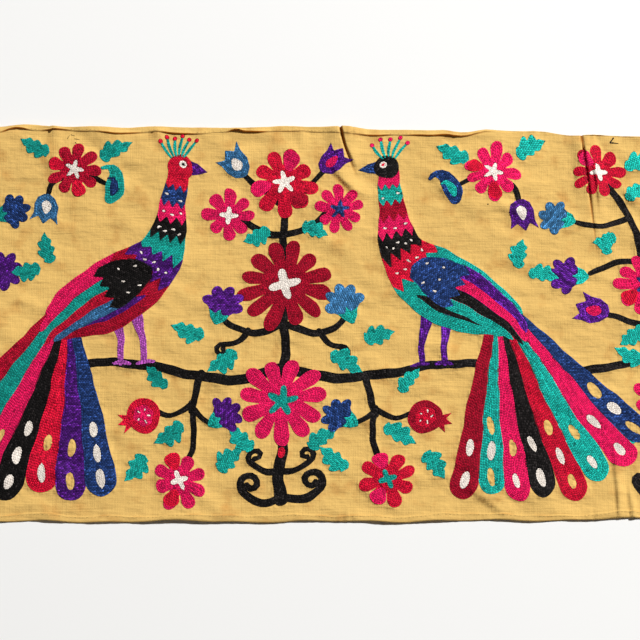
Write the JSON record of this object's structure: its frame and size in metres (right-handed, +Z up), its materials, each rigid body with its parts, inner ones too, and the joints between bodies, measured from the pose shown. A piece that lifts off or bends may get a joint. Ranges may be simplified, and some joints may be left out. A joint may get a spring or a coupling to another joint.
{
  "type": "suzani embroidered textile",
  "caption": "Hemmed rectangular strip of cotton cloth lying face up in soft folds, embroidered with birds, flowers and leaves.",
  "frame": {"origin": "on the surface it rests on, under the middle of the cloth", "axes": "+X along the strip, +Y across it towards the edge with the deep crease, +Z up from the surface through the embroidered face"},
  "size_m": [1.1049, 0.5335, 0.0093],
  "materials": {
    "gold_cotton": "plain woven cotton, matt",
    "thread_pink": "embroidery thread, soft sheen",
    "thread_crimson": "embroidery thread, soft sheen",
    "thread_maroon": "embroidery thread, soft sheen",
    "thread_teal": "embroidery thread, soft sheen",
    "thread_purple": "embroidery thread, soft sheen",
    "thread_navy": "embroidery thread, soft sheen",
    "thread_blue": "embroidery thread, soft sheen",
    "thread_lilac": "embroidery thread, soft sheen",
    "thread_black": "embroidery thread, soft sheen",
    "thread_white": "embroidery thread, soft sheen"
  },
  "bodies": {
    "root": {"suzani_cloth": "gold_cotton"}
  },
  "joints": []
}
